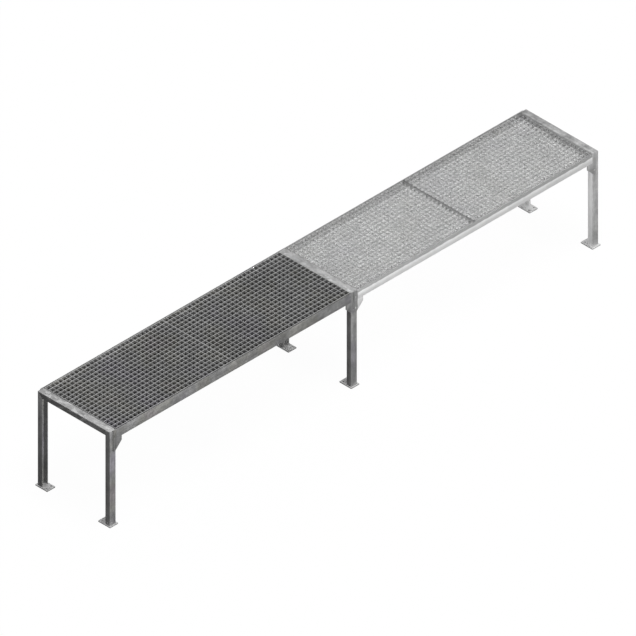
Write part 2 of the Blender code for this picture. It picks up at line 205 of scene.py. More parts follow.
def bead(bm, p0, p1, r, seed, squash=(1.0, None), pitch=0.0030):
    """A run of weld: a rippled, slightly wandering tube between two points, closed at both ends."""
    p0, p1 = Vector(p0), Vector(p1)
    d = p1 - p0
    length = d.length
    d.normalize()
    side = d.orthogonal().normalized()
    up = d.cross(side)
    n = max(8, int(length / 0.0012))
    rings = []
    for k in range(n + 1):
        s = length * k / n
        wobble = noise.noise(Vector((s * 260.0, seed * 3.17, 0.0)))
        drift = noise.noise(Vector((s * 90.0, seed * 1.91, 7.0)))
        drift2 = noise.noise(Vector((s * 90.0, seed * 2.37, 13.0)))
        ripple = 1.0 + 0.09 * math.cos(2 * math.pi * s / pitch) + 0.16 * wobble
        end = min(1.0, min(k, n - k) / 2.5 * 0.6 + 0.42)
        rr = r * ripple * end
        centre = p0 + d * s + (side * drift + up * drift2) * r * 0.22
        ring = []
        for q in range(10):
            a = 2 * math.pi * q / 10
            off = side * (rr * math.cos(a)) + up * (rr * math.sin(a))
            if squash[1] is not None:
                axis = Vector(squash[1])
                off -= axis * off.dot(axis) * (1.0 - squash[0])
            ring.append(centre + off)
        rings.append(ring)
    loft(bm, rings)


def weld(name, runs, mat, body=ROOT):
    """One named piece holding the weld runs at one place."""
    bm = bmesh.new()
    for i, run in enumerate(runs):
        p0, p1, r = run[:3]
        squash = run[3] if len(run) > 3 else (1.0, None)
        bead(bm, p0, p1, r, seed=i + sum(ord(c) for c in name) * 0.13, squash=squash)
    mesh = mesh_from(bm, name)
    mesh.shade_smooth()
    o = new_object(name, mesh)
    o.data.materials.append(mat)
    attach(o, body)
    made.append(o)
    return o


def stand_for(o, node, mat, body=ROOT):
    o.data.materials.clear()
    o.data.materials.append(mat)
    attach(o, body)
    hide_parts(node)
    made.append(o)
    return o


# ------------------------------------------------------------------ galvanised finishes


def grey(v, tint=(1.0, 1.0, 1.0)):
    """8-bit display grey to a linear colour."""
    c = v / 255.0
    lin = c / 12.92 if c <= 0.04045 else ((c + 0.055) / 1.055) ** 2.4
    return tuple(lin * t for t in tint) + (1.0,)


class Graph:
    """Short names for building a node tree."""

    def __init__(self, name):
        self.material = bpy.data.materials.new(name)
        self.material.use_nodes = True
        self.tree = self.material.node_tree
        self.tree.nodes.clear()
        self.out = self.node("ShaderNodeOutputMaterial")
        self.bsdf = self.node("ShaderNodeBsdfPrincipled")
        self.link(self.bsdf.outputs["BSDF"], self.out.inputs["Surface"])
        self.coord = self.node("ShaderNodeTexCoord").outputs["Object"]

    def node(self, kind, **values):
        n = self.tree.nodes.new(kind)
        for k, v in values.items():
            if hasattr(n, k):
                setattr(n, k, v)
            else:
                n.inputs[k].default_value = v
        return n

    def link(self, a, b):
        self.tree.links.new(a, b)
        return b

    def stretched(self, scale, turn=(0, 0, 0)):
        m = self.node("ShaderNodeMapping")
        m.inputs["Scale"].default_value = scale
        m.inputs["Rotation"].default_value = turn
        self.link(self.coord, m.inputs["Vector"])
        return m.outputs["Vector"]

    def axis(self, name):
        """One world coordinate of the surface point, as the pieces are made in place."""
        if not hasattr(self, "axes"):
            self.axes = self.node("ShaderNodeSeparateXYZ")
            self.link(self.coord, self.axes.inputs[0])
        return self.axes.outputs[name]

    def facing(self):
        """The flat face's own direction, without bump."""
        geo = self.node("ShaderNodeNewGeometry")
        parts = self.node("ShaderNodeSeparateXYZ")
        self.link(geo.outputs["True Normal"], parts.inputs[0])
        return {k: parts.outputs[k] for k in "XYZ"}

    def grey_of(self, v):
        c = self.node("ShaderNodeCombineColor")
        for i in range(3):
            self.link(v, c.inputs[i])
        return c.outputs[0]

    def noise(self, scale, detail=3.0, rough=0.55, distortion=0.0, vector=None, w=None):
        n = self.node("ShaderNodeTexNoise")
        if w is not None:
            n.noise_dimensions = "4D"
            n.inputs["W"].default_value = w
        n.inputs["Scale"].default_value = scale
        n.inputs["Detail"].default_value = detail
        n.inputs["Roughness"].default_value = rough
        n.inputs["Distortion"].default_value = distortion
        self.link(self.coord if vector is None else vector, n.inputs["Vector"])
        return n.outputs["Fac"]

    def math(self, op, a, b=None, clamp=False):
        m = self.node("ShaderNodeMath")
        m.operation = op
        m.use_clamp = clamp
        for i, v in enumerate((a, b)):
            if v is None:
                continue
            if isinstance(v, (int, float)):
                m.inputs[i].default_value = v
            else:
                self.link(v, m.inputs[i])
        return m.outputs[0]

    def remap(self, v, lo, hi, to_lo=0.0, to_hi=1.0, smooth=False):
        m = self.node("ShaderNodeMapRange")
        m.clamp = True
        if smooth:
            m.interpolation_type = "SMOOTHSTEP"
        m.inputs["From Min"].default_value = lo
        m.inputs["From Max"].default_value = hi
        m.inputs["To Min"].default_value = to_lo
        m.inputs["To Max"].default_value = to_hi
        self.link(v, m.inputs["Value"])
        return m.outputs["Result"]

    def ramp(self, v, stops):
        r = self.node("ShaderNodeValToRGB")
        e = r.color_ramp.elements
        while len(e) > 1:
            e.remove(e[-1])
        e[0].position, e[0].color = stops[0]
        for p, c in stops[1:]:
            x = e.new(p)
            x.color = c
        self.link(v, r.inputs["Fac"])
        return r.outputs["Color"]

    def mix(self, fac, a, b, kind="MIX"):
        m = self.node("ShaderNodeMix")
        m.data_type = "RGBA"
        m.blend_type = kind
        for i, v in ((0, fac), (6, a), (7, b)):
            if isinstance(v, (int, float, tuple)):
                m.inputs[i].default_value = v
            else:
                self.link(v, m.inputs[i])
        return m.outputs[2]


def zinc(
    name,
    dark,
    mid,
    light,
    streak=(60.0, 60.0, 5.0),
    turn=(0, 0, 0),
    streak_amount=0.30,
    patch=7.0,
    spangle=0.16,
    rough=(0.46, 0.62),
    metallic=0.35,
    tint=0.06,
    seed=0.0,
    top_wear_and_painted_light=None,
    side=None,
    margins=(),
    blends=(),
    contrast=1.0,
    flakes=None,
    bump=0.35,
):
    """Hot-dip zinc: broad mottled patches, finer blotches, drawn-out streaks, faint spangle crystals and slight tints.

    top_wear_and_painted_light: the two greys of the faces that look up, painted light on the tops (lighter than the
    rest on most pieces, darker on the far-bay gratings), broken by rubbed patches. side: the greys of the faces that
    look along X, painted light and shade on those flanks.
    margins: bands painted darker, or lighter for a negative strength, each (axis, centre, half width, fade, strength);
    some of them are painted shade or painted highlight.
    blends: the finish near a frame that the piece is bolted to, each (three greys, centre x, reach, fade).
    flakes: (grey, size in 1/m, threshold, amount), bright splashes of fresher zinc.
    """
    g = Graph(name)
    wander = g.noise(22.0, 2.0, 0.5, w=seed + 3.1)
    big = g.noise(patch, 5.0, 0.62, 0.6, w=seed)
    small = g.noise(patch * 4.5, 4.0, 0.6, 0.3, w=seed + 1.7)
    drawn = g.noise(1.0, 3.0, 0.6, 0.2, vector=g.stretched(streak, turn), w=seed + 2.3)

    # Spangle: irregular crystals, each with its own slight tone.
    bent = g.node("ShaderNodeVectorMath")
    bent.operation = "MULTIPLY_ADD"
    warp = g.node("ShaderNodeTexNoise")
    warp.inputs["Scale"].default_value = 160.0
    warp.inputs["Detail"].default_value = 2.0
    g.link(g.coord, warp.inputs["Vector"])
    g.link(warp.outputs["Color"], bent.inputs[0])
    bent.inputs[1].default_value = (0.006, 0.006, 0.006)
    g.link(g.coord, bent.inputs[2])
    cells = g.node("ShaderNodeTexVoronoi")
    cells.inputs["Scale"].default_value = 125.0
    g.link(bent.outputs[0], cells.inputs["Vector"])
    apart = g.node("ShaderNodeSeparateColor")
    g.link(cells.outputs["Color"], apart.inputs[0])
    crystal = apart.outputs[0]

    a = g.math("MULTIPLY", g.remap(big, 0.28, 0.72), 0.50)
    b = g.math("MULTIPLY", g.remap(small, 0.30, 0.70), 0.50 - streak_amount * 0.5)
    c = g.math("MULTIPLY", g.remap(drawn, 0.30, 0.70), streak_amount * 0.5)
    total = g.math("ADD", g.math("ADD", a, b), c)
    if contrast != 1.0:
        total = g.math("ADD", g.math("MULTIPLY", total, contrast), 0.5 - 0.5 * contrast, clamp=True)
    jitter = g.math("MULTIPLY", g.math("SUBTRACT", crystal, 0.5), spangle)
    total = g.math("ADD", total, jitter, clamp=True)
    colour = g.ramp(
        total,
        [
            (0.12, grey(dark)),
            (0.50, grey(mid)),
            (0.88, grey(light)),
        ],
    )

    # Slight warm, cool and rosy drifts over a few hundred millimetres.
    tone = g.noise(4.3, 2.0, 0.5, 0.0, w=seed + 9.4)
    t = tint
    tints = g.ramp(
        tone,
        [
            (0.32, (1.0, 1.0 - t * 0.5, 1.0 + t, 1.0)),
            (0.45, (1.0, 1.0, 1.0, 1.0)),
            (0.53, (1.0, 1.0, 1.0, 1.0)),
            (0.62, (1.0 + t * 0.2, 1.0 + t * 0.1, 1.0 - t * 0.9, 1.0)),
            (0.74, (1.0 + t * 0.6, 1.0 - t * 0.4, 1.0, 1.0)),
        ],
    )
    colour = g.mix(1.0, colour, tints, "MULTIPLY")

    for greys, at, reach, fade in blends:
        near_frame = g.ramp(
            total, [(0.12, grey(greys[0])), (0.50, grey(greys[1])), (0.88, grey(greys[2]))]
        )
        off = g.math("ABSOLUTE", g.math("SUBTRACT", g.axis("X"), at))
        ragged = g.math("ADD", off, g.remap(small, 0.3, 0.7, -0.002, 0.002))
        colour = g.mix(g.remap(ragged, reach, reach + fade, 1.0, 0.0, smooth=True), colour, near_frame)

    if side is not None or top_wear_and_painted_light is not None:
        facing = g.facing()
        # Faces that look along X get their own greys: painted light and shade on those flanks.
        if side is not None:
            painted_side_tone = g.ramp(total, [(0.1, grey(side[0])), (0.9, grey(side[1]))])
            colour = g.mix(
                g.remap(g.math("ABSOLUTE", facing["X"]), 0.6, 0.85, smooth=True), colour, painted_side_tone
            )
        # Up-facing faces get their own greys: painted light on the tops, with rubbed patches through it.
        if top_wear_and_painted_light is not None:
            rub = g.remap(g.noise(9.0, 4.0, 0.6, w=seed + 5.5), 0.3, 0.7, 0.80, 1.0)
            top = g.ramp(total, [(0.1, grey(top_wear_and_painted_light[0])), (0.9, grey(top_wear_and_painted_light[1]))])
            up = g.remap(facing["Z"], 0.35, 0.9, smooth=True)
            colour = g.mix(g.math("MULTIPLY", up, rub), colour, top)

    if flakes is not None:
        shade, size, level, amount = flakes
        splash = g.noise(1.0, 6.0, 0.68, 1.4, vector=g.stretched((size, size * 0.45, size), turn), w=seed + 11.0)
        mask = g.remap(splash, level, level + 0.09, 0.0, amount, smooth=True)
        colour = g.mix(mask, colour, grey(shade))

    # Painted bands along one axis: darker, or lighter for a negative strength; some are painted shade or painted
    # highlight.
    for axis, centre, half_width, fade, strength in margins:
        off = g.math("ABSOLUTE", g.math("SUBTRACT", g.axis(axis), centre))
        ragged = g.math("ADD", off, g.remap(small, 0.3, 0.7, -0.003, 0.003))
        painted_band_tone = g.remap(ragged, half_width, half_width + fade, 1.0 - strength, 1.0, smooth=True)
        colour = g.mix(1.0, colour, g.grey_of(painted_band_tone), "MULTIPLY")

    g.link(colour, g.bsdf.inputs["Base Color"])
    dull = g.math(
        "ADD",
        g.math("MULTIPLY", g.remap(small, 0.3, 0.7), 0.65),
        g.math("MULTIPLY", crystal, 0.35),
    )
    g.link(
        g.remap(dull, 0.0, 1.0, rough[0], rough[1]), g.bsdf.inputs["Roughness"]
    )
    g.bsdf.inputs["Metallic"].default_value = metallic
    if bump > 0:
        grain = g.noise(420.0, 3.0, 0.6)
        sag = g.noise(48.0, 3.0, 0.5, vector=None, w=seed + 6.0)
        height = g.math(
            "ADD",
            g.math("MULTIPLY", grain, 0.35),
            g.math("ADD", g.math("MULTIPLY", sag, 0.9), g.math("MULTIPLY", crystal, 0.08)),
        )
        bp = g.node("ShaderNodeBump")
        bp.inputs["Strength"].default_value = bump
        bp.inputs["Distance"].default_value = 0.0009
        g.link(height, bp.inputs["Height"])
        g.link(bp.outputs["Normal"], g.bsdf.inputs["Normal"])
    return g.material


WEB_HALF = (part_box("left_near_leg")[1].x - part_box("left_near_leg")[0].x) / 2
UPRIGHT = dict(streak=(90.0, 90.0, 7.0))
ALONG_X = dict(streak=(7.0, 90.0, 90.0))
ALONG_Y = dict(streak=(90.0, 7.0, 90.0))
SLANTED = dict(streak=(60.0, 14.0, 60.0), turn=(0.0, 0.0, 0.75))

grating_lo, grating_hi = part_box("second_bay_left_grating")
right_lo, right_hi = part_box("second_bay_right_grating")
second_joint = (grating_hi.x + right_lo.x) / 2
right_x = (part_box("right_top_beam")[0].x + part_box("right_top_beam")[1].x) / 2
middle_x = (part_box("middle_top_beam")[0].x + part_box("middle_top_beam")[1].x) / 2

leg_dark = zinc(
    "zinc_leg",
    119,
    147,
    177,
    streak_amount=0.6,
    patch=9.0,
    contrast=1.3,
    seed=0.0,
    side=(128, 165),
    **UPRIGHT,
)
# Far left legs: the same zinc as the near ones, but the flanks that look along X are painted darker: painted shade.
leg_far_painted_shade = zinc(
    "zinc_far_leg",
    119,
    147,
    177,
    streak_amount=0.6,
    patch=9.0,
    contrast=1.3,
    seed=2.0,
    side=(114, 148),
    **UPRIGHT,
)
# Middle legs: the flanks that look along X are painted lighter: painted highlight.
leg_middle_painted_highlight = zinc(
    "zinc_middle_leg",
    119,
    147,
    177,
    streak_amount=0.6,
    patch=9.0,
    contrast=1.3,
    seed=1.0,
    side=(156, 202),
    **UPRIGHT,
)
first_lo, first_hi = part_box("first_bay_near_side_beam")
angle_dark = zinc(
    "zinc_side_beam",
    119,
    144,
    172,
    streak_amount=0.45,
    patch=8.0,
    contrast=1.4,
    seed=4.0,
    margins=(("Z", first_hi.z, 0.020, 0.030, 0.12),),
    **ALONG_X,
)
gusset_dark = zinc("zinc_gusset", 100, 131, 161, streak_amount=0.9, patch=12.0, contrast=1.5, seed=8.0, **UPRIGHT)
# Up-facing faces painted lighter than the flanks: painted highlight, broken by rubbed patches.
top_dark = zinc(
    "zinc_top_beam",
    114,
    136,
    160,
    streak_amount=0.6,
    patch=14.0,
    contrast=1.5,
    seed=12.0,
    top_wear_and_painted_light=(136, 190),
    flakes=(230, 27.0, 0.53, 0.55),
    **SLANTED,
)
# Plate tops painted lighter than the edges: painted highlight.
foot_pale = zinc("zinc_base_plate", 112, 132, 154, streak_amount=0.2, patch=16.0, seed=16.0, top_wear_and_painted_light=(184, 218))
# Bar tops painted lighter than the bar walls: painted highlight; the far rows are painted lighter too, a painted
# highlight in place of light on the far side beam seen through the mesh.
grating_dark = zinc(
    "zinc_grating",
    128,
    144,
    160,
    streak_amount=0.2,
    spangle=0.05,
    seed=20.0,
    patch=4.0,
    top_wear_and_painted_light=(158, 184),
    bump=0.1,
    margins=(("Y", grating_hi.y, 0.045, 0.020, -0.18),),
)
bearer_mat = zinc("zinc_bearer", 130, 150, 170, seed=24.0, **ALONG_Y)
bearer_pale = zinc("bright_bearer", 196, 212, 228, seed=26.0, tint=0.006, **ALONG_Y)
# Far-frame legs in a paler zinc; the flanks that look along X are painted lighter still: painted highlight.
leg_pale = zinc(
    "bright_leg",
    162,
    184,
    207,
    streak_amount=0.5,
    contrast=1.35,
    seed=30.0,
    tint=0.006,
    side=(228, 242),
    **UPRIGHT,
)
angle_lo, angle_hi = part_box("second_bay_near_side_beam")
angle_pale = zinc(
    "bright_side_beam",
    236,
    246,
    252,
    seed=34.0,
    tint=0.006,
    margins=(
        ("Z", angle_hi.z, 0.017, 0.008, 0.58),
        ("Z", angle_lo.z, 0.022, 0.008, 0.10),
    ),
    **ALONG_X,
)
gusset_pale = zinc(
    "bright_gusset",
    216,
    232,
    246,
    seed=38.0,
    tint=0.006,
    blends=(
        ((116, 143, 170), middle_x, WEB_HALF, 0.002),
        ((146, 170, 194), right_x, 0.090, 0.002),
    ),
    **UPRIGHT,
)
top_middle = zinc(
    "zinc_middle_top_beam",
    140,
    164,
    190,
    streak_amount=0.5,
    patch=13.0,
    contrast=1.7,
    seed=42.0,
    tint=0.02,
    top_wear_and_painted_light=(138, 192),
    flakes=(230, 27.0, 0.52, 0.55),
    **SLANTED,
)
# Up-facing faces painted a little darker than the flanks: painted shade. Along the beam's inner edge a lighter line
# and a darker band are painted.
top_pale = zinc(
    "bright_top_beam",
    146,
    168,
    192,
    streak_amount=0.5,
    patch=13.0,
    contrast=1.8,
    seed=45.0,
    tint=0.006,
    top_wear_and_painted_light=(126, 186),
    flakes=(210, 27.0, 0.54, 0.45),
    margins=(
        ("X", right_x - WEB_HALF + 0.012, 0.004, 0.004, -0.16),
        ("X", right_x - WEB_HALF, 0.003, 0.005, 0.14),
    ),
    **SLANTED,
)
# Plate tops painted lighter than the edges: painted highlight.
foot_bright = zinc("bright_base_plate", 150, 172, 194, patch=16.0, seed=46.0, tint=0.006, top_wear_and_painted_light=(200, 234))
# Far-bay mesh in a paler zinc. Its bar tops are painted much darker than its walls, painted shade, and its darker
# bands are painted shade too: along the top of the bars, over the joint where the centre bearer would shade the mesh,
# over the right end bearer, and along the far edge. It is painted slightly lighter along the near edge.
grating_pale = zinc(
    "bright_grating",
    231,
    238,
    245,
    streak_amount=0.2,
    metallic=0.05,
    spangle=0.02,
    seed=50.0,
    patch=4.0,
    top_wear_and_painted_light=(130, 144),
    bump=0.0,
    tint=0.006,
    margins=(
        ("Z", right_hi.z, 0.006, 0.005, 0.26),
        ("X", second_joint, 0.008, 0.004, 0.46),
        ("X", right_hi.x, 0.034, 0.010, 0.32),
        ("Y", right_hi.y, 0.045, 0.020, 0.18),
        ("Y", right_lo.y, 0.030, 0.020, -0.06),
    ),
)
weld_dark = zinc("zinc_weld", 118, 140, 166, patch=40.0, seed=60.0, bump=0.5)
weld_pale = zinc("bright_weld", 176, 198, 218, patch=40.0, seed=64.0, bump=0.5)
screw_dark = zinc("zinc_screw", 120, 146, 172, patch=60.0, seed=70.0, rough=(0.34, 0.48), metallic=0.6)
screw_pale = zinc("bright_screw", 178, 200, 220, patch=60.0, seed=74.0, rough=(0.34, 0.48), metallic=0.6)

# ------------------------------------------------------------------ sections
leg_lo, leg_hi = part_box("left_near_leg")
WEB = leg_hi.x - leg_lo.x
FLANGE = leg_hi.y - leg_lo.y
T = 0.005
half = WEB / 2
channel = rounded(
    [
        (-half, 0.0, 0.0015, 5),
        (half, 0.0, 0.0015, 5),
        (half, FLANGE, 0.0006, 2),
        (half - T, FLANGE, 0.0020, 4),
        (half - T, T, 0.0025, 5),
        (-half + T, T, 0.0025, 5),
        (-half + T, FLANGE, 0.0020, 4),
        (-half, FLANGE, 0.0006, 2),
    ]
)
portal_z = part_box("left_top_beam")[1].z
deck_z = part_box("first_bay_left_grating")[1].z
SCREW_R = 0.0043


def is_pale(node):
    return node.startswith("second_bay") or node.startswith("right_")


# ------------------------------------------------------------------ legs
def drill(o, centres, radius, depth=0.02):
    """Round holes through a web, along Y."""
    bm = bmesh.new()
    for c in centres:
        bmesh.ops.create_cone(
            bm,
            cap_ends=True,
            segments=24,
            radius1=radius,
            radius2=radius,
            depth=depth,
            matrix=Matrix.Translation(c) @ Matrix.Rotation(math.radians(90), 4, "X"),
        )
    cutter = new_object("drill", mesh_from(bm, "drill"))
    m = o.modifiers.new("drill", "BOOLEAN")
    m.operation = "DIFFERENCE"
    m.solver = "EXACT"
    m.object = cutter
    apply_modifiers(o)
    bpy.data.objects.remove(cutter, do_unlink=True)


screws = [n for n in NODES if n.endswith("_screw")]
for fr in ("left", "middle", "right"):
    for row in ("near", "far"):
        node = f"{fr}_{row}_leg"
        lo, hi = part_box(node)
        s = 1.0 if row == "near" else -1.0
        xc = (lo.x + hi.x) / 2
        y_out = lo.y if row == "near" else hi.y
        bottom = [Vector((xc + p.x, y_out + s * p.y, lo.z)) for p in channel]
        top = [Vector((xc + p.x, y_out + s * p.y, hi.z - p.y)) for p in channel]
        o = prism(f"leg_{fr}_{row}", bottom, top)
        soften(o, 0.0005, 2)
        centres = []
        for n in screws:
            slo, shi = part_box(n)
            c = (slo + shi) / 2
            if (c.y < 0) == (row == "near") and abs(c.x - xc) < 0.03:
                centres.append(Vector((c.x, y_out + s * T / 2, c.z)))
        drill(o, centres, SCREW_R)
        o.data.shade_smooth()
        o.data.set_sharp_from_angle(angle=math.radians(38))
        left = leg_dark if row == "near" else leg_far_painted_shade
        stand_for(o, node, {"left": left, "middle": leg_middle_painted_highlight, "right": leg_pale}[fr])

# ------------------------------------------------------------------ portal top beams
for fr in ("left", "middle", "right"):
    node = f"{fr}_top_beam"
    lo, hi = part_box(node)
    xc = (lo.x + hi.x) / 2
    a = [Vector((xc + p.x, lo.y + p.y, hi.z - p.y)) for p in channel]
    b = [Vector((xc + p.x, hi.y - p.y, hi.z - p.y)) for p in channel]
    o = prism(f"top_beam_{fr}", a, b)
    soften(o, 0.0004, 2)
    stand_for(o, node, {"left": top_dark, "middle": top_middle, "right": top_pale}[fr])

# ------------------------------------------------------------------ base plates
for fr in ("left", "middle", "right"):
    for row in ("near", "far"):
        node = f"{fr}_{row}_base_plate"
        lo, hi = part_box(node)
        s = 1.0 if row == "near" else -1.0
        xc, yc = (lo.x + hi.x) / 2, (lo.y + hi.y) / 2
        w, d, t = hi.x - lo.x, hi.y - lo.y, hi.z - lo.z
        outline = rounded(
            [
                (-w / 2, -d / 2, 0.003, 4),
                (w / 2, -d / 2, 0.003, 4),
                (w / 2, d / 2, 0.003, 4),
                (-w / 2, d / 2, 0.003, 4),
            ]
        )
        hole_y = s * (-d / 2 + 0.012 + 0.0695)
        loops = [outline] + [
            list(reversed(circle(hx, hole_y, 0.0055, 40))) for hx in (-0.0205, 0.0205)
        ]
        o = plate(
            f"base_plate_{fr}_{row}",
            loops,
            t,
            Matrix.Translation((xc, yc, lo.z + t / 2)),
            edge=0.0008,
            segments=3,
        )
        stand_for(o, node, foot_bright if fr == "right" else foot_pale)

# ------------------------------------------------------------------ side beams
ANGLE_T = 0.005
for bay in ("first", "second"):
    for row in ("near", "far"):
        node = f"{bay}_bay_{row}_side_beam"
        lo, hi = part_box(node)
        s = 1.0 if row == "near" else -1.0
        y_out = lo.y if row == "near" else hi.y
        toe, tall = hi.y - lo.y, hi.z - lo.z
        section = rounded(
            [
                (0.0, 0.0, 0.0006, 2),
                (toe, 0.0, 0.0006, 2),
                (toe, ANGLE_T, 0.002, 4),
                (ANGLE_T, ANGLE_T, 0.006, 6),
                (ANGLE_T, tall, 0.002, 4),
                (0.0, tall, 0.0006, 2),
            ]
        )
        a = [Vector((lo.x, y_out + s * p.x, lo.z + p.y)) for p in section]
        b = [Vector((hi.x, y_out + s * p.x, lo.z + p.y)) for p in section]
        o = prism(f"side_beam_{bay}_{row}", a, b)
        soften(o, 0.0004, 2)
        stand_for(o, node, angle_pale if bay == "second" else angle_dark)

# ------------------------------------------------------------------ gusset plates
for bay in ("first", "second"):
    for row in ("near", "far"):
        beam_lo, beam_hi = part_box(f"{bay}_bay_{row}_side_beam")
        for end in ("left", "right"):
            node = f"{bay}_bay_{row}_{end}_gusset"
            lo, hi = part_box(node)
            side = 1.0 if end == "left" else -1.0
            x_in = lo.x if end == "left" else hi.x
            x_out = hi.x if end == "left" else lo.x
            x_beam = (beam_lo.x - 0.0003) if end == "left" else (beam_hi.x + 0.0003)
            z_beam = beam_lo.z - 0.0003
            knee = lo.z + 0.054
            run = knee - lo.z
            outline = rounded(
                [
                    (x_in, hi.z, 0.0, 0),
                    (x_beam, hi.z, 0.0, 0),
                    (x_beam, z_beam, 0.0, 0),
                    (x_out, z_beam, 0.0006, 2),
                    (x_out, knee, 0.010, 8),
                    (x_out - side * run, lo.z, 0.002, 4),
                    (x_in, lo.z, 0.0, 0),
                ]
            )
            holes = []
            for level in ("upper", "lower"):
                slo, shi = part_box(f"{bay}_bay_{row}_{end}_{level}_screw")
                holes.append(
                    circle((slo.x + shi.x) / 2, (slo.z + shi.z) / 2, SCREW_R, 32)
                )
            t = hi.y - lo.y
            yc = (lo.y + hi.y) / 2
            o = plate(
                f"gusset_{bay}_{row}_{end}",
                [outline] + holes,
                t,
                Matrix(
                    ((1, 0, 0, 0), (0, 0, -1, yc), (0, 1, 0, 0), (0, 0, 0, 1))
                ),
                edge=0.0004,
                segments=2,
            )
            # Countersinks on the outer face.
            y_face = lo.y if row == "near" else hi.y
            s = 1.0 if row == "near" else -1.0
            bm = bmesh.new()
            for level in ("upper", "lower"):
                slo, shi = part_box(f"{bay}_bay_{row}_{end}_{level}_screw")
                c = Vector(((slo.x + shi.x) / 2, y_face, (slo.z + shi.z) / 2))
                rings = []
                for depth, r in ((-0.0010, 0.0090), (0.0038, 0.0042)):
                    rings.append(
                        [
                            c
                            + Vector(
                                (
                                    r * math.cos(2 * math.pi * k / 32),
                                    s * depth,
                                    r * math.sin(2 * math.pi * k / 32),
                                )
                            )
                            for k in range(32)
                        ]
                    )
                loft(bm, rings)
            sink = new_object("sink", mesh_from(bm, "sink"))
            m = o.modifiers.new("sink", "BOOLEAN")
            m.operation = "DIFFERENCE"
            m.solver = "EXACT"
            m.object = sink
            apply_modifiers(o)
            bpy.data.objects.remove(sink, do_unlink=True)
            o.data.shade_smooth()
            o.data.set_sharp_from_angle(angle=math.radians(38))
            stand_for(o, node, gusset_pale if bay == "second" else gusset_dark)

# ------------------------------------------------------------------ countersunk screws with their nuts
STEPS = 36


def ring_at(c, s, depth, r, hexagon=False):
    """Ring about the screw's axis (Y). A hexagon has its flats facing along X."""
    out = []
    for k in range(STEPS):
        a = 2 * math.pi * k / STEPS
        rr = r
        if hexagon:
            b = (a + math.pi / 6) % (math.pi / 3) - math.pi / 6
            rr = r / math.cos(b)
        out.append(c + Vector((rr * math.cos(a), s * depth, rr * math.sin(a))))
    return out


for node in screws:
    lo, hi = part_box(node)
    near = (lo.y + hi.y) < 0
    s = 1.0 if near else -1.0
    y_face = lo.y if near else hi.y
    length = hi.y - lo.y
    c = Vector(((lo.x + hi.x) / 2, y_face, (lo.z + hi.z) / 2))
    bm = bmesh.new()
    loft(
        bm,
        [
            # hexagon socket, from its floor out to the head's face
            ring_at(c, s, 0.0034, 0.0001),
            ring_at(c, s, 0.0031, 0.0022, True),
            ring_at(c, s, 0.0003, 0.0025, True),
            ring_at(c, s, 0.0, 0.0028, True),
            ring_at(c, s, 0.0, 0.0069),
            ring_at(c, s, 0.0004, 0.0074),
            ring_at(c, s, 0.0037, 0.0040),
            ring_at(c, s, 0.0101, 0.0040),
            # nut
            ring_at(c, s, 0.0103, 0.0055),
            ring_at(c, s, 0.0103, 0.0061),
            ring_at(c, s, 0.0109, 0.0064, True),
            ring_at(c, s, 0.0161, 0.0064, True),
            ring_at(c, s, 0.0167, 0.0061),
            ring_at(c, s, 0.0167, 0.0044),
            # thread end
            ring_at(c, s, 0.0168, 0.0039),
            ring_at(c, s, length - 0.0008, 0.0039),
            ring_at(c, s, length, 0.0032),
        ],
    )
    mesh = mesh_from(bm, node)
    mesh.shade_smooth()
    mesh.set_sharp_from_angle(angle=math.radians(30))
    o = new_object("csk_" + node, mesh)
    stand_for(o, node, screw_pale if is_pale(node) else screw_dark)

# ------------------------------------------------------------------ grating panels, full mesh


